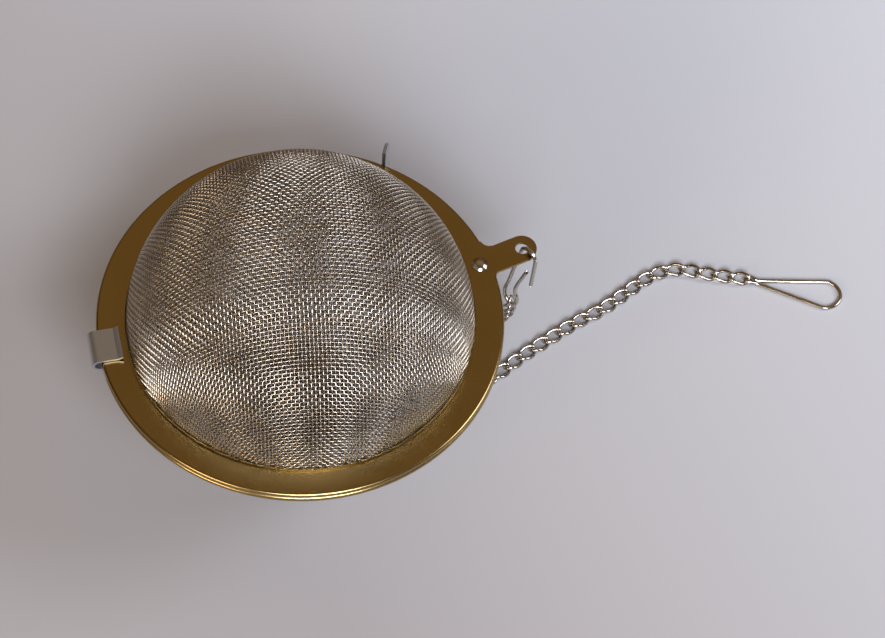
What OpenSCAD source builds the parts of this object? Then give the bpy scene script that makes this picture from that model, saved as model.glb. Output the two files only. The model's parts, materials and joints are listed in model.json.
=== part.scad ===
// Mesh tea ball: two woven half balls in flat pressed rims that swivel on one rivet,
// with a wire hook, a curb chain and a teardrop wire handle.
// Z points up, and the origin is where the ball stands on the table.

/* [Rims] */
// Outer diameter of both rims
rim_od = 65; // [54:0.5:80]
// Radial width of the flat rim
rim_w = 4.6; // [4.2:0.1:7]
// Thickness of the sheet that each rim is folded from
skin_t = 0.28; // [0.2:0.02:0.4]
// Height of the turned-up lip at a rim's inner edge
lip_h = 0.35; // [0.2:0.05:0.6]
// Gap between the two rims
rim_gap = 0.06; // [0.04:0.01:0.15]

/* [Mesh] */
// Depth of each half ball below its rim
mesh_depth = 26; // [20:0.5:34]
// Thickness of the woven mesh
mesh_t = 0.4; // [0.3:0.02:0.5]
// Radius of the flat spot at each pole
pole_r = 4; // [3:0.25:7]
// Width of the mesh edge that is folded into the rim
mesh_hem = 1.4; // [1:0.1:1.5]
// Clearance around the mesh inside the fold
mesh_fit = 0.02; // [0.01:0.01:0.03]
// Gap between the ball and the rim's inner edge
mesh_gap = 0.05; // [0.03:0.01:0.1]

/* [Rivet] */
// Direction of the rivet, seen from above
rivet_az = 24.5; // [15:0.5:35]
// Distance of the rivet from the outer edge
rivet_inset = 1.95; // [1.8:0.05:2.2]
// Radius of the rivet's shank
rivet_r = 0.8; // [0.5:0.05:0.9]
// Radial clearance of the shank in both rims
rivet_fit = 0.05; // [0.02:0.01:0.1]
// Radius of the rivet's heads
head_r = 1.3; // [1.2:0.05:1.6]
// Height of the rivet's heads
head_h = 0.55; // [0.4:0.05:0.8]

/* [Ear] */
// Direction that the ear points in
ear_az = 30; // [26:0.5:34]
// Width of the ear
ear_w = 4.8; // [4.4:0.1:5.6]
// Distance from the rivet to the ear's hole
ear_len = 7.6; // [6.5:0.1:10]
// Radius of the ear's hole
hole_r = 1.1; // [1:0.05:1.3]
// Thickness of the ear
ear_t = 0.5; // [0.4:0.05:0.6]
// Radius of the fillet where the ear's upper edge leaves the rim
ear_fillet = 1.6; // [0.8:0.1:2.5]
// Radius of the fillet where its lower edge leaves the rim
ear_fillet_low = 0.7; // [0.4:0.1:1.5]

/* [Clip] */
// Direction of the clip
clip_az = 195.5; // [185:0.5:215]
// Width of the clip along the rim
clip_w = 5.8; // [4:0.1:7]
// Thickness of the clip's tongue
clip_t = 0.4; // [0.3:0.05:0.5]
// Clearance between the clip and the upper rim
clip_fit = 0.12; // [0.08:0.01:0.3]
// Length of the tongue that lies over the rim
clip_reach = 2.9; // [2:0.1:3.2]
// Length of the turned-up end of the tongue
clip_lip = 0.75; // [0.4:0.05:0.9]
// Angle of the turned-up end
clip_flare = 28; // [15:1:40]

/* [Stop] */
// Direction of the stop finger
stop_az = 70.5; // [62:0.5:80]
// Height of the finger above the upper rim
stop_h = 4.3; // [2.5:0.1:6]
// Radial width of the finger at its foot
stop_w = 1.9; // [1.4:0.1:2.5]
// Thickness of the finger
stop_t = 0.6; // [0.4:0.05:0.8]
// Gap between the finger and the upper rim
stop_fit = 0.06; // [0.04:0.01:0.15]

/* [Hook] */
// Diameter of the hook's wire
hook_d = 0.66; // [0.5:0.02:0.7]
// Direction from the ear's hole to the hook's free leg
hook_az = -42; // [-60:1:-20]
// Lean of the hook out of the vertical
hook_lean = 6; // [0:0.5:8]
// Gap between the hook's wire and what hangs on it
hook_gap = 0.05; // [0.03:0.01:0.1]

/* [Chain] */
// Distance from one link to the next
link_pitch = 2.8; // [2.7:0.05:2.9]
// Diameter of the link wire
link_d = 0.56; // [0.48:0.02:0.56]
// Half length of a link along the middle of its wire
link_a = 1.8; // [1.75:0.01:1.9]
// Half width of a link along the middle of its wire
link_b = 1.05; // [1:0.01:1.15]
// Twist of each end of a link
link_twist = 50; // [45:1:56]

/* [Handle] */
// Diameter of the handle's wire
handle_d = 0.7; // [0.6:0.02:0.8]
// Length of the handle
handle_len = 16; // [12:0.5:22]
// Half width of the handle's round end
handle_b = 2.6; // [2.3:0.1:3.2]
// Half gap between the two legs at the neck
handle_pinch = 0.38; // [0.36:0.01:0.45]
// Direction that the handle points in
handle_az = -7; // [-20:1:20]
// Room around the last link in the handle's eye
handle_eye_fit = 0.11; // [0.08:0.01:0.2]
// Turn of the handle's eye about the handle's length, where it takes the last link
handle_twist = 40; // [30:1:50]

/* [Hidden] */
link_count = 32;
function link_name(k) = str("link_", k < 10 ? "0" : "", k);
$fn = 96;

// Radii of the rims and the mesh
rim_r = rim_od / 2;
rim_ir = rim_r - rim_w;
mesh_r = rim_ir - mesh_gap;
hem_r = mesh_r + mesh_hem;
// The mesh is part of a ball whose centre lies this far below its hem
ball_dz = (pow(pole_r, 2) + pow(mesh_depth, 2) - pow(mesh_r, 2)) / (2 * mesh_depth);
ball_r = norm([mesh_r, ball_dz]);
// Heights of the lower rim's faces, and of the plane that the two halves mirror about
slot_z = mesh_depth - mesh_fit;
rim_z = slot_z - skin_t;
rim_t = 2 * skin_t + mesh_t + 2 * mesh_fit;
mid_z = rim_z + rim_t + rim_gap / 2;
top_z = mid_z + rim_gap / 2 + rim_t;
// Place of the rivet and of the ear's hole
rivet_pr = rim_r - rivet_inset;
rivet_xy = rivet_pr * [cos(rivet_az), sin(rivet_az)];
hole_xy = rivet_xy + ear_len * [cos(ear_az), sin(ear_az)];
// Clearance under the rivet's upper head
head_fit = 0.05;
// Tiny overlap that joins shapes of one piece
weld = 0.02;
// Step of the ear's top below the rim's top
ear_step = 0.01;

// ---- Wire work ----
function unit(v) = v / norm(v);
function wrap(k, n) = (k % n + n) % n;
// Direction along a wire at point k; an open wire's ends look along their last stretch
function along(p, k, closed) =
    let (n = len(p))
    closed ? unit(p[wrap(k + 1, n)] - p[wrap(k - 1, n)])
           : unit(p[min(k + 1, n - 1)] - p[max(k - 1, 0)]);
// One point of a smooth curve between p1 and p2 (Catmull-Rom)
function between(p0, p1, p2, p3, t) =
    0.5 * (2 * p1 + (p2 - p0) * t + (2 * p0 - 5 * p1 + 4 * p2 - p3) * t * t
           + (3 * p1 - p0 - 3 * p2 + p3) * t * t * t);
// A smooth curve through the points p, with steps points for each stretch
function smooth(p, steps) =
    let (n = len(p))
    concat([for (k = [0:n - 2], s = [0:steps - 1])
        between(p[max(k - 1, 0)], p[k], p[k + 1], p[min(k + 2, n - 1)], s / steps)], [p[n - 1]]);
// Round wire along the points p; up[k] is a direction across the wire at point k
module wire(p, up, d, closed = false, sides = 8) {
    n = len(p);
    rings = [for (k = [0:n - 1])
        let (t = along(p, k, closed), u = unit(up[k] - (up[k] * t) * t), v = cross(t, u))
        for (s = [0:sides - 1])
            p[k] + d / 2 * (cos(360 * (s + 0.5) / sides) * u + sin(360 * (s + 0.5) / sides) * v)];
    walls = [for (k = [0:closed ? n - 1 : n - 2], s = [0:sides - 1])
        let (a = k * sides, b = wrap(k + 1, n) * sides, s2 = (s + 1) % sides)
        each [[a + s, b + s, b + s2], [a + s, b + s2, a + s2]]];
    ends = closed ? [] : [[for (s = [0:sides - 1]) s],
                          [for (s = [sides - 1:-1:0]) (n - 1) * sides + s]];
    polyhedron(rings, concat(walls, ends), convexity = 10);
}

// ---- Rims ----
// Section of a folded rim, from its inner edge to its rounded outer edge, with the slot for the mesh
module rim_section() {
    difference() {
        union() {
            translate([rim_ir, rim_z]) square([rim_w - rim_t / 2, rim_t]);
            translate([rim_r - rim_t / 2, rim_z + rim_t / 2]) circle(rim_t / 2);
            translate([rim_ir, rim_z - lip_h]) square([skin_t, lip_h + weld]);
        }
        translate([0, slot_z]) square([hem_r + mesh_fit, mesh_t + 2 * mesh_fit]);
    }
}
module rim_ring() {
    rotate_extrude($fn = 192) rim_section();
}
module rivet_bore(low, high) {
    translate([rivet_xy.x, rivet_xy.y, low]) cylinder(h = high - low, r = rivet_r + rivet_fit);
}
module flip() {
    translate([0, 0, 2 * mid_z]) mirror([0, 0, 1]) children();
}

// Fillet between the rim's edge and a straight edge at height y, in the ear's own direction,
// from a point inside the rim to the straight edge
function edge_fillet(y, r, side) =
    let (c = [sqrt(pow(rim_r + r, 2) - pow(y + side * r, 2)), y + side * r],
         a0 = atan2(-c.y, -c.x), a1 = -90 * side, steps = 8)
    concat([unit(c) * (rim_r - 0.8)],
           [for (k = [0:steps]) let (a = a0 + (a1 - a0) * k / steps) c + r * [cos(a), sin(a)]]);
function reversed(p) = [for (k = [len(p) - 1:-1:0]) p[k]];
// Ear with its chain hole, one sheet that grows out of the upper rim
module ear() {
    ear_y = rivet_pr * sin(rivet_az - ear_az);
    hole_x = rivet_pr * cos(rivet_az - ear_az) + ear_len;
    rotate([0, 0, ear_az]) translate([0, 0, top_z - ear_t - ear_step]) linear_extrude(ear_t) {
        polygon(concat(
            edge_fillet(ear_y + ear_w / 2, ear_fillet, 1),
            [[hole_x, ear_y + ear_w / 2], [hole_x, ear_y - ear_w / 2]],
            reversed(edge_fillet(ear_y - ear_w / 2, ear_fillet_low, -1))));
        translate([hole_x, ear_y]) circle(ear_w / 2);
    }
}

// Tongue that curls out of the lower rim and back over the upper one, with a turned-up end
module clip() {
    tongue_z = top_z + clip_fit;
    curl_r = (tongue_z + clip_t - rim_z) / 2;
    curl_x = rim_r + 0.1;
    lip_x = curl_x - clip_reach;
    rotate([0, 0, clip_az]) translate([0, clip_w / 2, 0]) rotate([90, 0, 0]) linear_extrude(clip_w) {
        translate([curl_x, rim_z + curl_r]) intersection() {
            difference() {
                circle(curl_r);
                circle(curl_r - clip_t);
            }
            translate([-weld, -curl_r]) square([2 * curl_r, 2 * curl_r]);
        }
        translate([lip_x, tongue_z]) square([clip_reach, clip_t]);
        translate([lip_x, tongue_z + clip_t / 2]) rotate(-clip_flare) {
            translate([-clip_lip, -clip_t / 2]) square([clip_lip, clip_t]);
            translate([-clip_lip, 0]) circle(clip_t / 2);
        }
        translate([lip_x, tongue_z + clip_t / 2]) circle(clip_t / 2);
        translate([rim_r - 1, rim_z]) square([1.1 + weld, clip_t]);
    }
}

// Finger that is bent up outside the rims and stops the upper half when it is closed
module stop_finger() {
    foot_r = 1.4;
    foot_t = 0.5;
    inner = rim_r + stop_fit;
    rotate([0, 0, stop_az]) {
        translate([rim_r - 1, -stop_t / 2, rim_z]) cube([1 + stop_fit + stop_w, stop_t, foot_t]);
        // foot, swept back along the rim's edge on the side that faces the rivet
        translate([0, 0, rim_z]) linear_extrude(foot_t) difference() {
            translate([rim_r - 1, -stop_t / 2 - foot_r]) square([1 + foot_r, foot_r + weld]);
            translate([rim_r + foot_r, -stop_t / 2 - foot_r]) circle(foot_r);
        }
        // upright blade, narrower towards its top
        translate([0, stop_t / 2, 0]) rotate([90, 0, 0]) linear_extrude(stop_t) polygon([
            [inner, rim_z], [inner + stop_w, rim_z],
            [inner + stop_w * 0.8, top_z + stop_h * 0.6], [inner + stop_w * 0.65, top_z + stop_h],
            [inner + stop_w * 0.3, top_z + stop_h], [inner, top_z + stop_h * 0.7]]);
    }
}

module lower_rim() {
    color("#8a6c3c") {
        difference() {
            rim_ring();
            rivet_bore(rim_z - 1, mid_z);
        }
        clip();
        stop_finger();
    }
}
module upper_rim() {
    color("#8a6c3c") difference() {
        union() {
            flip() rim_ring();
            ear();
        }
        rivet_bore(mid_z, top_z + 1);
        translate([hole_xy.x, hole_xy.y, top_z - 1]) cylinder(h = 2, r = hole_r);
    }
}

// ---- Mesh ----
// One half ball: a shell with a flat pole and a hem that lies in the rim's slot
module mesh_shell() {
    rotate_extrude($fn = 128) {
        intersection() {
            translate([0, mesh_depth - ball_dz]) difference() {
                circle(ball_r, $fn = 192);
                circle(ball_r - mesh_t, $fn = 192);
            }
            square([mesh_r + 1, mesh_depth + mesh_t]);
        }
        square([pole_r, mesh_t]);
        translate([mesh_r - mesh_t / 2, mesh_depth]) square([mesh_hem + mesh_t / 2, mesh_t]);
    }
}
module lower_mesh() {
    color("#b9b2a6") mesh_shell();
}
module upper_mesh() {
    color("#b9b2a6") flip() mesh_shell();
}

// ---- Rivet ----
module rivet_head(z, side) {
    dome_r = (pow(head_r, 2) + pow(head_h, 2)) / (2 * head_h);
    translate([rivet_xy.x, rivet_xy.y, z]) mirror([0, 0, side < 0 ? 1 : 0])
        rotate_extrude($fn = 64) intersection() {
            translate([0, head_h - dome_r]) circle(dome_r);
            square([head_r, head_h]);
        }
}
module rivet() {
    color("#a8a196") {
        translate([rivet_xy.x, rivet_xy.y, rim_z]) cylinder(h = top_z + head_fit - rim_z, r = rivet_r);
        rivet_head(top_z + head_fit, 1);
        rivet_head(rim_z, -1);
    }
}

// ---- Hook ----
// Middle of the hook's wire, across and down from the ear's hole: the free leg, the bend over
// the ear's edge, the leg through the hole, the eye for the chain, and the closing leg
bend_r = (ear_w / 2 + hook_d / 2 + 0.45) / 2;
bend_z = top_z - 0.75;
hook_bend = [for (a = [0:22.5:180]) [bend_r + bend_r * cos(a), bend_z + bend_r * sin(a)]];
hook_pts = concat(
    [[3.3, top_z - 6.6], [3.25, top_z - 4]],
    hook_bend,
    [[-0.4, top_z - 4], [-0.8, top_z - 7], [-1.2, top_z - 10.4], [-1.55, top_z - 12.4],
     [-1.35, top_z - 14], [-0.1, top_z - 14.9], [1.15, top_z - 14], [1.2, top_z - 12.6],
     [0.5, top_z - 11.2], [0.7, top_z - 9.2], [1.9, top_z - 4.6]]);
// Point where the first link hangs in the eye
eye_pt = [-0.1, top_z - 14.9 + (hook_d + link_d) / 2 + hook_gap];
// The hook leans about the ear's hole, square to its own plane
lean_ax = [cos(hook_az), sin(hook_az), 0];
function rolled(v, ax, a) = v * cos(a) + cross(ax, v) * sin(a) + ax * (ax * v) * (1 - cos(a));
function hook_at(q) =
    let (z0 = top_z - ear_t / 2)
    [hole_xy.x, hole_xy.y, z0]
    + rolled([q.x * cos(hook_az), q.x * sin(hook_az), q.y - z0], lean_ax, -hook_lean);
module hook() {
    path = [for (q = smooth(hook_pts, 3)) hook_at(q)];
    across = rolled([-sin(hook_az), cos(hook_az), 0], lean_ax, -hook_lean);
    color("#c9c4ba") wire(path, [for (q = path) across], hook_d);
}

// ---- Chain ----
// The chain's way: down from the hook's eye, a loop on the table, and out to the handle.
// Its points were chosen for an eye at way_eye, and they move with the eye
way_eye = [33.33, 15.45, 13.6];
link_z = link_b * sin(link_twist) * 0.55 + link_d / 2;
loop_c = [28, 12.9];
loop_r = 6.1;
hang_way = [[33.4, 16.2, 10], [33, 17.6, 5.1], [32.1, 17.8, 3.2], [30.2, 18.9, 2]];
loop_way = [for (a = [100:26.25:310]) loop_c + loop_r * [cos(a), sin(a)]];
table_way = [[35.9, 12.2], [40.4, 16.2], [44.9, 20], [49.3, 23.1], [53.4, 27], [57.3, 30.6],
             [61.6, 32.3], [66.8, 31.8], [74, 31.4]];
eye_at = hook_at(eye_pt);
way_shift = [eye_at.x - way_eye.x, eye_at.y - way_eye.y];
chain_way = smooth(concat(
    [eye_at],
    [for (q = hang_way) [q.x + way_shift.x, q.y + way_shift.y, q.z * eye_at.z / way_eye.z]],
    [for (q = concat(loop_way, table_way)) [q.x + way_shift.x, q.y + way_shift.y, link_z]]), 6);
// Point at a length s along a way of points
function at_length(p, s, k = 0) =
    let (d = norm(p[k + 1] - p[k]))
    (s <= d || k == len(p) - 2) ? p[k] + (p[k + 1] - p[k]) * s / d : at_length(p, s - d, k + 1);
// Where each link hangs in the one before it: points on the way, one pitch apart
function hang(k) =
    k == 0 ? [chain_way[0]]
           : let (done = hang(k - 1), last = done[k - 1])
             concat(done, [last + link_pitch * unit(at_length(chain_way, k * link_pitch) - last)]);
joint_pts = hang(link_count);
// Way up for a link that runs along t: up on the table, and sideways where the chain hangs
function link_up(t) =
    let (r = [-0.35 * abs(t.z), 0.25 * abs(t.z), 1])
    unit(r - (r * t) * t);
// Twisted link wire about the middle of a link that runs along t
function link_path(c, t) =
    let (up = link_up(t), w = cross(up, t), n = 20)
    [for (k = [0:n - 1])
        let (x = cos(360 * k / n), y = sin(360 * k / n), f = link_twist * x)
        c + link_a * x * t + link_b * y * (cos(f) * w + sin(f) * up)];
module link(k) {
    a = joint_pts[k - 1];
    b = joint_pts[k];
    c = (a + b) / 2;
    path = link_path(c, unit(b - a));
    color("#c9c4ba") wire(path, [for (q = path) q - c], link_d, closed = true);
}

// ---- Handle ----
// Flat outline of one half of the wire: round eye, pinched neck, straight leg, round end
eye_r = (link_d + handle_d) / 2 + handle_eye_fit;
neck_x = eye_r * 2.5;
table_gap = 0.01;
handle_z = handle_d / 2 + table_gap;
bow_x = handle_len - handle_b - handle_d / 2;
handle_half = concat(
    [for (a = [180:-22.5:67.5]) eye_r * [cos(a), sin(a)]],
    [[eye_r * 1.25, handle_pinch + 0.05], [eye_r * 1.25 + 0.8, handle_pinch]],
    [for (s = [0.25:0.25:0.75]) [neck_x + (bow_x - neck_x) * s,
                                 handle_pinch + (handle_b - handle_pinch) * s]],
    [for (a = [90:-22.5:0]) [bow_x, 0] + handle_b * [cos(a), sin(a)]]);
handle_loop = concat(handle_half,
    [for (k = [len(handle_half) - 2:-1:1]) [handle_half[k].x, -handle_half[k].y]]);
// The eye is turned and lifted to the last link, and the rest lies flat
function eye_share(x) = min(1, max(0, 1 - (x + eye_r) / neck_x));
function lift_share(x) = min(1, max(0, 1 - x / neck_x));
handle_bent = [for (q = handle_loop)
    let (f = -handle_twist * eye_share(q.x), z = handle_z + (link_z - handle_z) * lift_share(q.x))
    [q.x, q.y * cos(f), z + q.y * sin(f)]];
// The eye's far side lies past the last joint, as a link's end would
eye_hang = 0.35;
module handle() {
    end = joint_pts[link_count];
    path = [for (q = handle_bent)
        let (x = q.x + eye_r - eye_hang)
        [end.x + x * cos(handle_az) - q.y * sin(handle_az),
         end.y + x * sin(handle_az) + q.y * cos(handle_az), q.z]];
    color("#c9c4ba") wire(path, [for (q = path) [0, 0, 1]], handle_d, closed = true);
}

lower_rim();
lower_mesh();
rivet();
upper_rim();
upper_mesh();
hook();
for (k = [1:link_count]) link(k);
handle();
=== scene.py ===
import json
import math
import bpy
import numpy as np
from mathutils import Matrix, Vector


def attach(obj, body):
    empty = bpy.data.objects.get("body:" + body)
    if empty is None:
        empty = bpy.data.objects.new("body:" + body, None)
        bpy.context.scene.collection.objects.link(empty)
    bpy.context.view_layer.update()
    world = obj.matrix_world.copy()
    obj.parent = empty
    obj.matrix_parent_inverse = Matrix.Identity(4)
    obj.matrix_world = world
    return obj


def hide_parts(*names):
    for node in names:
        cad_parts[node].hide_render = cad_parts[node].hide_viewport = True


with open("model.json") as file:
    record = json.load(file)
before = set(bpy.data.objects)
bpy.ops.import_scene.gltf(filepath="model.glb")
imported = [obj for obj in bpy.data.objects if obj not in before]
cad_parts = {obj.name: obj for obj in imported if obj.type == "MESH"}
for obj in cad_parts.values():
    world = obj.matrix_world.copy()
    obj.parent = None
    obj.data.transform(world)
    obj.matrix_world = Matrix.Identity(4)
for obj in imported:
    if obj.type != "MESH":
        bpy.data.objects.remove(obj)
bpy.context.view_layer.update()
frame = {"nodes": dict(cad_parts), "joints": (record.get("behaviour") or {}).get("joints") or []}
mm = 0.001
nodes = frame["nodes"]
joints = {j["name"]: j for j in frame["joints"]}

camera = {
    "place": (22.52, -315.31, 538.23),  # mm
    "down": 58.15,                      # degrees that the view looks down
    "roll": 4.63,                       # degrees that the horizon turns
    "lens": 153.43,                     # mm, on a 36 mm sensor
    "sensor": 36,                       # mm
    "near": 0.01,                       # m
}


def makeCamera(c):
    # Looks along (0, cos down, -sin down), then rolls about that line
    down, roll = math.radians(c["down"]), math.radians(c["roll"])
    forward = np.array([0, math.cos(down), -math.sin(down)])
    right = np.array([1.0, 0, 0])
    up = np.cross(right, forward)
    data = bpy.data.cameras.new("camera")
    data.lens = c["lens"]
    data.sensor_width = c["sensor"]
    data.clip_start = c["near"]
    turn = np.eye(4)
    turn[:3, 0] = math.cos(roll) * right + math.sin(roll) * up
    turn[:3, 1] = math.cos(roll) * up - math.sin(roll) * right
    turn[:3, 2] = -forward
    turn[:3, 3] = np.array(c["place"]) * mm
    obj = bpy.data.objects.new("camera", data)
    obj.matrix_world = Matrix(turn.tolist())
    bpy.context.scene.collection.objects.link(obj)
    bpy.context.scene.camera = obj


makeCamera(camera)
print("camera made")


def linear(hexColour):
    # sRGB hex to linear: c/12.92 below 0.04045, else ((c+0.055)/1.055)^2.4
    c = np.array([int(hexColour[k:k + 2], 16) for k in (1, 3, 5)]) / 255
    return (*np.where(c <= 0.04045, c / 12.92, ((c + 0.055) / 1.055) ** 2.4), 1.0)


def addNode(tree, kind, settings=None, links=None):
    # settings name a property of the node or one of its inputs, by name or number; links name
    # an input and the socket that feeds it
    node = tree.nodes.new(kind)
    for key, value in (settings or {}).items():
        if isinstance(key, str) and hasattr(node, key):
            setattr(node, key, value)
        else:
            node.inputs[key].default_value = value
    for key, socket in (links or {}).items():
        tree.links.new(socket, node.inputs[key])
    return node


def newMaterial(name):
    # An empty node material, and its tree
    material = bpy.data.materials.new(name)
    material.use_nodes = True
    material.node_tree.nodes.clear()
    return material, material.node_tree


steelSurface = {
    "markDepth": 0.01,         # mm, the bump of full strength
    "driftSpan": (0.3, 0.7),   # noise values that give the first and the second roughness
    "driftDetail": 3.0,
    "marksDetail": 2.0,
}


def steel(name, look, s=steelSurface):
    # Tint and roughness follow one soft noise of look["drift"] mm: dark + (light - dark) noise.
    # Fine marks of look["marks"] mm lie in the bump.
    material, tree = newMaterial(name)
    place = addNode(tree, "ShaderNodeTexCoord").outputs["Object"]
    drift = addNode(tree, "ShaderNodeTexNoise",
                    {"Scale": 1 / (look["drift"] * mm), "Detail": s["driftDetail"]},
                    {"Vector": place}).outputs["Fac"]
    marks = addNode(tree, "ShaderNodeTexNoise",
                    {"Scale": 1 / (look["marks"] * mm), "Detail": s["marksDetail"]},
                    {"Vector": place}).outputs["Fac"]
    tint = addNode(tree, "ShaderNodeMix",
                   {"data_type": "RGBA", 6: linear(look["dark"]), 7: linear(look["light"])},
                   {0: drift}).outputs[2]
    rough = addNode(tree, "ShaderNodeMapRange",
                    {"From Min": s["driftSpan"][0], "From Max": s["driftSpan"][1],
                     "To Min": look["rough"][0], "To Max": look["rough"][1]},
                    {"Value": drift}).outputs["Result"]
    bump = addNode(tree, "ShaderNodeBump",
                   {"Strength": look["bump"], "Distance": s["markDepth"] * mm},
                   {"Height": marks}).outputs["Normal"]
    shader = addNode(tree, "ShaderNodeBsdfPrincipled", {"Metallic": 1.0},
                     {"Base Color": tint, "Roughness": rough, "Normal": bump})
    addNode(tree, "ShaderNodeOutputMaterial", links={"Surface": shader.outputs["BSDF"]})
    return material


# pressed stainless sheet with a warm heat tint: smooth, and it mirrors the dim room as brown
pressedSheet = steel("heatTintedStainlessSheet", {
    "dark": "#988252", "light": "#a08a5b", "rough": (0.2, 0.27),
    "drift": 9.0, "marks": 0.25, "bump": 0.03})
# drawn stainless wire, woven: bright crowns where the wires cross, dark between them
wovenWire = steel("wovenStainlessWire", {
    "dark": "#a89f90", "light": "#cdc4b6", "rough": (0.16, 0.26),
    "drift": 3.0, "marks": 0.15, "bump": 0.06})
# the same wire, darker on the lower half, the one that holds the leaves: painted shade of the
# ball's inside and underside
paintedShadeWire = steel("wovenWireWithPaintedShade", {
    "dark": "#7a6c56", "light": "#978870", "rough": (0.22, 0.34),
    "drift": 2.5, "marks": 0.15, "bump": 0.06})
# tumbled stainless wire of the chain, the hook and the handle: polished, with faint draw marks
polishedWire = steel("polishedStainlessWire", {
    "dark": "#b3aca0", "light": "#c9c3b8", "rough": (0.12, 0.22),
    "drift": 2.0, "marks": 0.12, "bump": 0.08})

# the lower rim's clip and stop finger: a grey colour in place of the ring's brown, painted
# reflection of the window light they catch, and rougher than the ring
clipFingerReflection = {
    "spots": {"clip": (-32.6, -9.0, 28.5, 6.0),
              "finger": (11.1, 31.4, 30.0, 4.2)},  # x, y, z and reach, mm
    "edge": 0.4,                                   # mm over which the tint ends
    "colour": "#b9bcc2",
    "rough": 0.46,
}


def withPaintedReflection(material, name, reflectionSpots):
    # A copy of the material that gives way, within each spot's reach, to a grey painted
    # reflection
    # with more roughness: share of tint = (distance from the spot - reach + edge) / edge, held to
    # 0..1
    material = material.copy()
    material.name = name
    tree = material.node_tree
    shader = next(n for n in tree.nodes if n.type == "BSDF_PRINCIPLED")
    place = next(n for n in tree.nodes if n.type == "TEX_COORD").outputs["Object"]
    colour = shader.inputs["Base Color"].links[0].from_socket
    rough = shader.inputs["Roughness"].links[0].from_socket
    for x, y, z, reach in reflectionSpots["spots"].values():
        far = addNode(tree, "ShaderNodeVectorMath",
                      {"operation": "DISTANCE", 1: (x * mm, y * mm, z * mm)},
                      {0: place}).outputs["Value"]
        share = addNode(tree, "ShaderNodeMapRange",
                        {"From Min": (reach - reflectionSpots["edge"]) * mm, "From Max": reach * mm},
                        {"Value": far}).outputs["Result"]
        # the grey colour mixed in here is painted reflection
        colour = addNode(tree, "ShaderNodeMix", {"data_type": "RGBA", 6: linear(reflectionSpots["colour"])},
                         {0: share, 7: colour}).outputs[2]
        rough = addNode(tree, "ShaderNodeMix", {"data_type": "FLOAT", 2: reflectionSpots["rough"]},
                        {0: share, 3: rough}).outputs[0]
    tree.links.new(colour, shader.inputs["Base Color"])
    tree.links.new(rough, shader.inputs["Roughness"])
    return material


lowerSheet = withPaintedReflection(pressedSheet, "heatTintedSheetWithPaintedClipReflection", clipFingerReflection)
print("materials made")


def meshPiece(name, body, material, verts, quads, replaces=()):
    # One smooth piece from corners in mm and quads, riding on its body
    mesh = bpy.data.meshes.new(name)
    quads = np.asarray(quads, np.int32)
    mesh.vertices.add(len(verts))
    mesh.vertices.foreach_set("co", np.asarray(verts * mm, np.float32).ravel())
    mesh.loops.add(quads.size)
    mesh.loops.foreach_set("vertex_index", quads.ravel())
    mesh.polygons.add(len(quads))
    mesh.polygons.foreach_set("loop_start", np.arange(0, quads.size, 4, dtype=np.int32))
    mesh.polygons.foreach_set("use_smooth", np.ones(len(quads), bool))
    mesh.update()
    mesh.validate()
    mesh.materials.append(material)
    obj = bpy.data.objects.new(name, mesh)
    bpy.context.scene.collection.objects.link(obj)
    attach(obj, body)
    if replaces:
        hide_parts(*replaces)


def unit(v):
    # v over its own length
    return v / np.linalg.norm(v, axis=-1, keepdims=True)


def sweep(path, up, radius, sides, closed):
    # Round wire: ring k is path[k] + radius (cos a u + sin a v), where u is up made square to
    # the path there and v = t x u. Gives its corners and its quads, with ends as fans of quads.
    n = len(path)
    if closed:
        along = unit(np.roll(path, -1, 0) - np.roll(path, 1, 0))
    else:
        along = unit(np.gradient(path, axis=0))
    u = unit(up - (up * along).sum(1, keepdims=True) * along)
    v = np.cross(along, u)
    a = (np.arange(sides) * 2 * np.pi / sides)[None, :, None]
    rings = path[:, None] + radius * (np.cos(a) * u[:, None] + np.sin(a) * v[:, None])
    k = np.arange(n if closed else n - 1)[:, None]
    s = np.arange(sides)[None]
    nextS, nextK = (s + 1) % sides, (k + 1) % n
    quads = np.stack([k * sides + s, nextK * sides + s,
                      nextK * sides + nextS, k * sides + nextS], -1)
    quads = quads.reshape(-1, 4)[:, ::-1]
    if not closed:
        h = np.arange(0, sides - 2, 2)[:, None]
        cap = np.concatenate([h * 0, h + 1, h + 2, (h + 3) % sides], 1)
        quads = np.concatenate([quads, cap, cap[:, ::-1] + (n - 1) * sides])
    return rings.reshape(-1, 3), quads


def smoothWay(points, steps):
    # Catmull-Rom curve through the points, steps samples for each stretch
    p = np.concatenate([points[:1], points, points[-1:]])
    t = (np.arange(steps) / steps)[None, :, None]
    p0, p1, p2, p3 = (p[k:len(p) - 3 + k, None] for k in range(4))
    way = 0.5 * (2 * p1 + (p2 - p0) * t + (2 * p0 - 5 * p1 + 4 * p2 - p3) * t ** 2
                 + (3 * p1 - p0 - 3 * p2 + p3) * t ** 3)
    return np.concatenate([way.reshape(-1, points.shape[1]), points[-1:]])


def closedWay(points, steps):
    # The same curve round a closed loop of points
    p = np.concatenate([points[-1:], points, points[:2]])
    return smoothWay(p, steps)[steps:-steps - 1]


weave = {
    "pitch": 0.63,         # mm from wire to wire
    "wire": 0.23,          # mm across a wire
    "lift": 0.1,           # mm that a wire rises and falls at each crossing
    "crown": 0.2,          # pitches each side of a crossing where the wire stays up or down
    "sides": 4,            # few, for hundreds of wires
    "ballRadius": 27.896,  # mm, outside of the wires
    "centre": 27.608,      # mm, height of the lower ball's centre above its pole's plane
    "hemPlane": 26.2,      # mm, middle of the fold that holds the hem
    "hem": 1.2,            # mm of hem in the fold
    "mirror": 53.46,       # mm, the upper half is the lower one mirrored at half this height
    "turn": {"lower": -14.0, "upper": 9.0},  # degrees that the weave turns in each half
}


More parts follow.
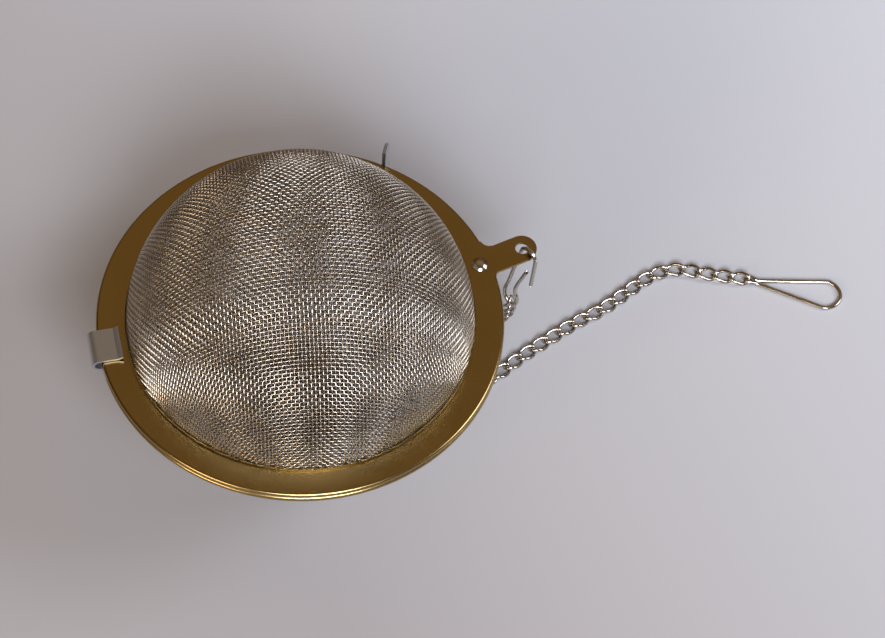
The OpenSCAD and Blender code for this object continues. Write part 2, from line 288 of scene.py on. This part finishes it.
def netQuadrant(count, step):
    # One quadrant of a pin-jointed net of equal cells laid on a unit ball from its pole: its two
    # edges are great circles, and each cell's far corner is its near corner mirrored in the plane
    # through the other two corners and the ball's centre
    net = np.zeros((count + 1, count + 1, 3))
    a = np.arange(count + 1) * step
    net[:, 0] = np.stack([np.sin(a), 0 * a, np.cos(a)], 1)
    net[0, :] = np.stack([0 * a, np.sin(a), np.cos(a)], 1)
    for d in range(2, 2 * count + 1):
        i = np.arange(max(1, d - count), min(count, d - 1) + 1)
        near, sideA, sideB = net[i - 1, d - i - 1], net[i, d - i - 1], net[i - 1, d - i]
        m = unit(np.cross(sideA, sideB))
        net[i, d - i] = near - 2 * (near * m).sum(1, keepdims=True) * m
    return net


def netRow(net, row, family, endTheta):
    # The net's line number row across both quadrants, out to the first knot past the hem's end,
    # and how many knots lie on each side of its middle. Family 1 is the net's other direction.
    line = net[abs(row)] if family == 0 else net[:, abs(row)]
    past = np.nonzero(np.arccos(np.clip(line[:, 2], -1, 1)) > endTheta)[0]
    last = past[0] if len(past) else len(line) - 1
    acrossFlip, rowFlip = np.array([1, -1, 1]), np.array([-1, 1, 1])
    if family == 1:
        acrossFlip, rowFlip = rowFlip, acrossFlip
    line = line[:last + 1]
    line = np.concatenate([line[:0:-1] * acrossFlip, line])
    return (line * rowFlip if row < 0 else line), last


def wireWay(w, line, last, row, family, radius, hemTheta, endTheta):
    # One wire's path and outward direction for the lower half. It goes through two points at
    # each crossing, raised or lowered by the lift in turn. On the ball a point is at
    # (radius + side lift) along its direction, and past the hem's angle it lies flat in the
    # fold: rho = radius (sin hemTheta + theta - hemTheta).
    at = np.arange(len(line))
    t = (at[:, None] + np.array([[-w["crown"], w["crown"]]])).ravel()
    t = t[(t >= 0) & (t <= len(line) - 1)]
    crossing = np.rint(t).astype(int) - last + row
    side = np.where(crossing % 2 == 0, 1.0, -1.0) * (1 if family == 0 else -1)
    d = unit(np.stack([np.interp(t, at, line[:, k]) for k in range(3)], 1))
    theta = np.arccos(np.clip(d[:, 2], -1, 1))
    keep = theta <= endTheta
    d, theta, out = d[keep], theta[keep], side[keep] * w["lift"]
    onBall = np.concatenate([d[:, :2] * (radius + out)[:, None],
                             (w["centre"] - d[:, 2] * (radius + out))[:, None]], 1)
    # the pole is pressed flat: what would be below the lowest wire's room is raised to it
    low = w["centre"] - np.sqrt(np.maximum(radius ** 2 - (onBall[:, :2] ** 2).sum(1), 0))
    onBall[:, 2] += np.maximum(0, w["wire"] / 2 + w["lift"] - low)
    rho = radius * math.sin(hemTheta) + radius * (theta - hemTheta)
    inHem = np.concatenate([unit(d[:, :2]) * rho[:, None],
                            (w["hemPlane"] - out)[:, None]], 1)
    hemmed = (theta > hemTheta)[:, None]
    path = np.where(hemmed, inHem, onBall)
    outward = np.where(hemmed, [[0, 0, -1.0]], np.concatenate([d[:, :2], -d[:, 2:]], 1))
    return path, outward


def weaveWires(w, half):
    # All wires of one half ball, as a list for each of the two directions. The hem's angle is
    # where the ball meets the fold: cos hemTheta = (centre - hemPlane) / radius.
    radius = w["ballRadius"] - w["wire"] / 2 - w["lift"]
    hemTheta = math.acos((w["centre"] - w["hemPlane"]) / radius)
    endTheta = hemTheta + w["hem"] / radius
    step = w["pitch"] / radius
    count = int(endTheta / step) + 2
    net = netQuadrant(count, step)
    turn = math.radians(w["turn"][half])
    turned = np.array([[math.cos(turn), math.sin(turn)], [-math.sin(turn), math.cos(turn)]])
    families = ([], [])
    for family, wires in enumerate(families):
        for row in range(-count, count + 1):
            line, last = netRow(net, row, family, endTheta)
            if last < 2:
                continue
            path, outward = wireWay(w, line, last, row, family, radius, hemTheta, endTheta)
            if len(path) < 4:
                continue
            path[:, :2] = path[:, :2] @ turned
            outward[:, :2] = outward[:, :2] @ turned
            if half == "upper":
                path[:, 2] = w["mirror"] - path[:, 2]
                outward[:, 2] *= -1
            wires.append(sweep(path, outward, w["wire"] / 2, w["sides"], False))
    return families


def joined(shapes):
    # Several shapes as one: each one's quads are counted on from the corners before it
    starts = np.cumsum([0] + [len(verts) for verts, quads in shapes[:-1]])
    return (np.concatenate([verts for verts, quads in shapes]),
            np.concatenate([quads + start for (verts, quads), start in zip(shapes, starts)]))


def makeWeave(half, material):
    # Four pieces for each half ball: each direction's wires in two parts, so none is too big
    for wires, label in zip(weaveWires(weave, half), ("Warp", "Weft")):
        middle = len(wires) // 2
        for part, group in (1, wires[:middle]), (2, wires[middle:]):
            verts, quads = joined(group)
            first = label == "Warp" and part == 1
            meshPiece(f"{half}{label}{part}", f"{half}_half", material, verts, quads,
                      (f"{half}_mesh",) if first else ())
            print(half, label, part, len(group), "wires", 2 * len(quads), "triangles")


# the lower half's darker wire is painted shade
makeWeave("lower", paintedShadeWire)
makeWeave("upper", wovenWire)
print("half balls woven")

hook = {
    "wire": 0.66,                # mm
    "sides": 14,
    "hole": (34.3811, 16.4689),  # mm, the ear's hole
    "turn": -42.0,               # degrees, the wire form's direction seen from above
    "lean": 6.0,                 # degrees
    "top": 27.76,                # mm, the ear's upper face
    "earThick": 0.5,
    "earWide": 4.8,
    "clear": 0.45,               # mm of room round the ear's edge
    "bendDrop": 0.75,            # mm from the ear's face down to the bend's middle
    "leg": [[3.3, -6.6], [3.25, -4]],  # mm out from the hole and up from the ear's face
    "eye": [[-0.4, -4], [-0.8, -7], [-1.2, -10.4], [-1.55, -12.4], [-1.35, -14], [-0.1, -14.9],
            [1.15, -14], [1.2, -12.6], [0.5, -11.2], [0.7, -9.2], [1.9, -4.6]],
    "steps": 8,
}


def hookWay(h):
    # The hook's flat wire form: leg, a half circle over the ear's edge, and the long eye. It is
    # leaned about the ear's hole and turned to its direction.
    bendR = (h["earWide"] / 2 + h["wire"] / 2 + h["clear"]) / 2
    a = np.radians(np.arange(0, 181, 22.5))
    bend = np.stack([bendR + bendR * np.cos(a),
                     h["top"] - h["bendDrop"] + bendR * np.sin(a)], 1)
    flat = smoothWay(np.concatenate([np.array(h["leg"]) + [0, h["top"]], bend,
                                     np.array(h["eye"]) + [0, h["top"]]]), h["steps"])
    turn, lean = math.radians(h["turn"]), math.radians(-h["lean"])
    middle = h["top"] - h["earThick"] / 2
    axis = np.array([math.cos(turn), math.sin(turn), 0])

    def leaned(v):
        # v turned by lean about axis
        return (v * math.cos(lean) + np.cross(axis, v) * math.sin(lean)
                + axis * (v @ axis)[:, None] * (1 - math.cos(lean)))

    upright = np.stack([flat[:, 0] * axis[0], flat[:, 0] * axis[1], flat[:, 1] - middle], 1)
    way = leaned(upright) + [h["hole"][0], h["hole"][1], middle]
    return way, np.repeat(leaned(np.array([[-axis[1], axis[0], 0]])), len(way), 0)


verts, quads = sweep(*hookWay(hook), hook["wire"] / 2, hook["sides"], False)
meshPiece("hookWire", "hook", polishedWire, verts, quads, ("hook",))
print("hook made")

chain = {
    "count": 32,
    "wire": 0.56,   # mm
    "long": 1.8,    # mm, half a link's length to the wire's middle
    "wide": 1.05,   # mm, half its width
    "twist": 50.0,  # degrees each way
    "roll": (-0.35, 0.25),  # x and y that a link's up direction leans by where the chain hangs
    "samples": 56,
    "sides": 12,
}


def linkWay(a, b, c):
    # A twisted oval: x = long cos k, y = wide sin k, turned by twist cos k about the link's run
    # from hinge a to hinge b
    t = unit(b - a)
    steep = abs(t[2])
    r = np.array([c["roll"][0] * steep, c["roll"][1] * steep, 1])
    up = unit(r - (r @ t) * t)
    across = np.cross(up, t)
    k = np.arange(c["samples"]) * 2 * np.pi / c["samples"]
    twist = math.radians(c["twist"]) * np.cos(k)
    around = np.cos(twist)[:, None] * across + np.sin(twist)[:, None] * up
    return (c["long"] * np.cos(k))[:, None] * t + (c["wide"] * np.sin(k))[:, None] * around


# the hinges of the chain, from the hook's eye to the handle's, in mm
hinges = [f"link_{k:02d}_turn" for k in range(1, chain["count"] + 1)] + ["handle_turn"]
hangs = [np.array(joints[name]["pos_m"]) / mm for name in hinges]
for k, (a, b) in enumerate(zip(hangs, hangs[1:]), 1):
    oval = linkWay(a, b, chain)
    verts, quads = sweep(oval + (a + b) / 2, oval, chain["wire"] / 2, chain["sides"], True)
    meshPiece(f"curbLink{k:02d}", f"link_{k:02d}", polishedWire, verts, quads,
              (f"link_{k:02d}",))
print("chain made")

handle = {
    "wire": 0.7,       # mm
    "sides": 14,
    "length": 16.0,
    "half": 2.6,       # half width of the bow
    "pinch": 0.38,     # half width of the neck
    "pinchEase": 0.05,  # wider by this where the eye closes
    "neck": (1.25, 0.8, 2.5),  # the neck's start in eye radii, its length in mm, its end in radii
    "turn": -7.0,      # degrees
    "eyeFit": 0.11,
    "eyeTwist": 40.0,  # degrees
    "eyeHang": 0.35,
    "lift": 0.36,      # height of the wire's middle
    "steps": 6,
}


def handleWay(h, end):
    # Flat outline: round eye, pinched neck, straight legs, round bow. The eye is turned by up to
    # eyeTwist about the handle's length, and lifted to the last link's end.
    eye = (chain["wire"] + h["wire"]) / 2 + h["eyeFit"]
    start, run, stop = h["neck"]
    neck = eye * stop
    bow = h["length"] - h["half"] - h["wire"] / 2
    a = np.radians(np.arange(180, 67, -22.5))
    b = np.radians(np.arange(90, -1, -22.5))
    s = np.array([[0.25], [0.5], [0.75]])
    half = np.concatenate([
        eye * np.stack([np.cos(a), np.sin(a)], 1),
        [[eye * start, h["pinch"] + h["pinchEase"]], [eye * start + run, h["pinch"]]],
        np.concatenate([neck + (bow - neck) * s, h["pinch"] + (h["half"] - h["pinch"]) * s], 1),
        [bow, 0] + h["half"] * np.stack([np.cos(b), np.sin(b)], 1)])
    x, y = np.concatenate([half, half[-2:0:-1] * [1, -1]]).T
    f = -np.radians(h["eyeTwist"]) * np.clip(1 - (x + eye) / neck, 0, 1)
    z = h["lift"] + (end[2] - h["lift"]) * np.clip(1 - x / neck, 0, 1)
    way = closedWay(np.stack([x, y * np.cos(f), z + y * np.sin(f)], 1), h["steps"])
    turn = math.radians(h["turn"])
    x, y = way[:, 0] + eye - h["eyeHang"], way[:, 1]
    return np.stack([end[0] + x * math.cos(turn) - y * math.sin(turn),
                     end[1] + x * math.sin(turn) + y * math.cos(turn), way[:, 2]], 1)


way = handleWay(handle, hangs[-1])
verts, quads = sweep(way, np.tile([0, 0, 1.0], (len(way), 1)),
                     handle["wire"] / 2, handle["sides"], True)
meshPiece("handleWire", "handle", polishedWire, verts, quads, ("handle",))
print("handle made")

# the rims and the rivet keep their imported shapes
keptLooks = {"lower_rim": lowerSheet, "upper_rim": pressedSheet, "rivet": polishedWire}
for name, material in keptLooks.items():
    nodes[name].data.materials.clear()
    nodes[name].data.materials.append(material)
print("rims and rivet finished")

stage = {
    "floor": {
        "colours": ("#a39f9d", "#ced0d3"),  # pale table top; painted light makes it lighter towards +X +Y
        "reach": (-0.02, 0.14),             # m along (1, 1) over which it lightens
        "along": (0.707, 0.707, 0),
        "grain": 1.2,                       # mm
        "grainDepth": 0.02,                 # mm
        "bump": 0.05,
        "rough": 0.7,
        "half": 3.0,                        # m, half its side
    },
    "room": {
        "sky": "#5e4628",                   # dim brown room above
        "panel": "#957c5a",                 # a wall of it that the flat steel mirrors
        "panelAim": (0, 0.53, 0.85),
        "panelSpan": (0.72, 0.95),          # where the wall starts and where it is full
    },
    "lights": {                             # places and sizes in m, powers in W
        "window": {"place": (0.3, -1.15, 1.1), "size": (0.78, 0.62), "power": 30.0,
                   "colour": "#eaf0ff"},
        "fill": {"place": (-0.5, -0.72, 0.36), "size": (0.4, 0.3), "power": 3.4,
                 "colour": "#ffe9cf"},
        "side": {"place": (0.95, 0.1, 0.7), "size": (0.5, 0.5), "power": 7.0,
                 "colour": "#e6edff"},
    },
}


def makeFloor(f):
    # A matte square. Its tone goes from the first colour to the second with the distance along
    # f["along"]: painted light, lighter to one side. A faint grain lies in the bump.
    material, tree = newMaterial("matteTableTopWithPaintedLight")
    place = addNode(tree, "ShaderNodeTexCoord").outputs["Object"]
    grain = addNode(tree, "ShaderNodeTexNoise", {"Scale": 1 / (f["grain"] * mm), "Detail": 3.0},
                    {"Vector": place}).outputs["Fac"]
    bump = addNode(tree, "ShaderNodeBump",
                   {"Strength": f["bump"], "Distance": f["grainDepth"] * mm},
                   {"Height": grain}).outputs["Normal"]
    along = addNode(tree, "ShaderNodeVectorMath", {"operation": "DOT_PRODUCT", 1: f["along"]},
                    {0: place}).outputs["Value"]
    share = addNode(tree, "ShaderNodeMapRange",
                    {"From Min": f["reach"][0], "From Max": f["reach"][1]},
                    {"Value": along}).outputs["Result"]
    tone = addNode(tree, "ShaderNodeMix",
                   {"data_type": "RGBA", 6: linear(f["colours"][0]), 7: linear(f["colours"][1])},
                   {0: share}).outputs[2]
    shader = addNode(tree, "ShaderNodeBsdfPrincipled", {"Roughness": f["rough"]},
                     {"Base Color": tone, "Normal": bump})
    addNode(tree, "ShaderNodeOutputMaterial", links={"Surface": shader.outputs["BSDF"]})
    mesh = bpy.data.meshes.new("floor")
    s = f["half"]
    mesh.from_pydata([(-s, -s, 0), (s, -s, 0), (s, s, 0), (-s, s, 0)], [], [(0, 1, 2, 3)])
    mesh.materials.append(material)
    obj = bpy.data.objects.new("floor", mesh)
    bpy.context.scene.collection.objects.link(obj)


def makeLight(name, light):
    # A soft rectangle of light that faces the origin
    data = bpy.data.lights.new(name, "AREA")
    data.shape = "RECTANGLE"
    data.size, data.size_y = light["size"]
    data.energy = light["power"]
    data.color = linear(light["colour"])[:3]
    obj = bpy.data.objects.new(name, data)
    obj.location = light["place"]
    obj.rotation_euler = (-Vector(light["place"])).to_track_quat("-Z", "Y").to_euler()
    bpy.context.scene.collection.objects.link(obj)


def makeRoom(r):
    # The world: sky colour, giving way to the panel's as the direction nears panelAim
    world = bpy.data.worlds.new("room")
    world.use_nodes = True
    tree = world.node_tree
    tree.nodes.clear()
    aim = addNode(tree, "ShaderNodeTexCoord").outputs["Generated"]
    toward = addNode(tree, "ShaderNodeVectorMath",
                     {"operation": "DOT_PRODUCT", 1: r["panelAim"]}, {0: aim}).outputs["Value"]
    share = addNode(tree, "ShaderNodeMapRange",
                    {"interpolation_type": "SMOOTHSTEP", "From Min": r["panelSpan"][0],
                     "From Max": r["panelSpan"][1]}, {"Value": toward}).outputs["Result"]
    tone = addNode(tree, "ShaderNodeMix",
                   {"data_type": "RGBA", 6: linear(r["sky"]), 7: linear(r["panel"])},
                   {0: share}).outputs[2]
    sky = addNode(tree, "ShaderNodeBackground", {"Strength": 1.0}, {"Color": tone})
    addNode(tree, "ShaderNodeOutputWorld", links={"Surface": sky.outputs["Background"]})
    bpy.context.scene.world = world


makeFloor(stage["floor"])
for name, light in stage["lights"].items():
    makeLight(name, light)
makeRoom(stage["room"])
bpy.context.scene.view_settings.view_transform = "Standard"
print("stage made")
